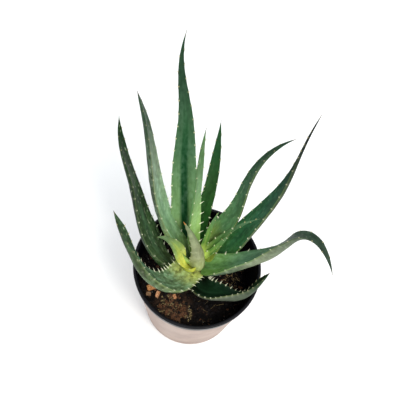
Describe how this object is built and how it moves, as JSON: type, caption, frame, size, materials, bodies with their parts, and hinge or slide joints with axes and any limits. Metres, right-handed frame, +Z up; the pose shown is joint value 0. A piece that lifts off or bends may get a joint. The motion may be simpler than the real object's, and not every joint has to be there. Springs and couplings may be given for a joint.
{
  "type": "potted aloe plant",
  "caption": "Aloe rosette of fleshy tapering leaves with pale marginal teeth on a short stem, in potting mix in a tapered round nursery pot.",
  "frame": {"origin": "middle of the pot's flat underside, on the surface it stands on", "axes": "+Z up along the pot's axis and -Y to the side seen in the picture, with +X to its right"},
  "size_m": [0.2206, 0.2057, 0.3327],
  "materials": {
    "pot": "moulded polypropylene, matt taupe wall outside, satin black inside and on the lip and collar",
    "soil": "dark, damp peaty potting mix with fibres and grit",
    "stem": "pale green succulent stem with dry leaf scars",
    "bark": "broken, dry tan bark",
    "leaf_young": "smooth waxy leaf skin, yellow green",
    "leaf_mid": "smooth waxy leaf skin, mid green",
    "leaf_bloomed": "leaf skin with a grey, powdery bloom",
    "leaf_dark": "smooth waxy leaf skin, dark green"
  },
  "bodies": {
    "root": {"pot": "pot", "soil": "soil", "stem": "stem", "bark_flat": "bark", "bark_upright": "bark", "bark_middle": "bark", "bark_small": "bark", "leaf_heart": "leaf_bloomed", "leaf_young_short": "leaf_young", "leaf_young_slim": "leaf_young", "leaf_young_right": "leaf_mid", "leaf_inner_upright": "leaf_young", "leaf_young_left": "leaf_young", "leaf_right_arching": "leaf_mid", "leaf_tall_back": "leaf_mid", "leaf_back_left": "leaf_bloomed", "leaf_back_right": "leaf_dark", "leaf_right_long": "leaf_dark", "leaf_right_drooping": "leaf_mid", "leaf_front_left": "leaf_bloomed", "leaf_front_right_low": "leaf_dark", "leaf_left": "leaf_dark"}
  },
  "joints": []
}
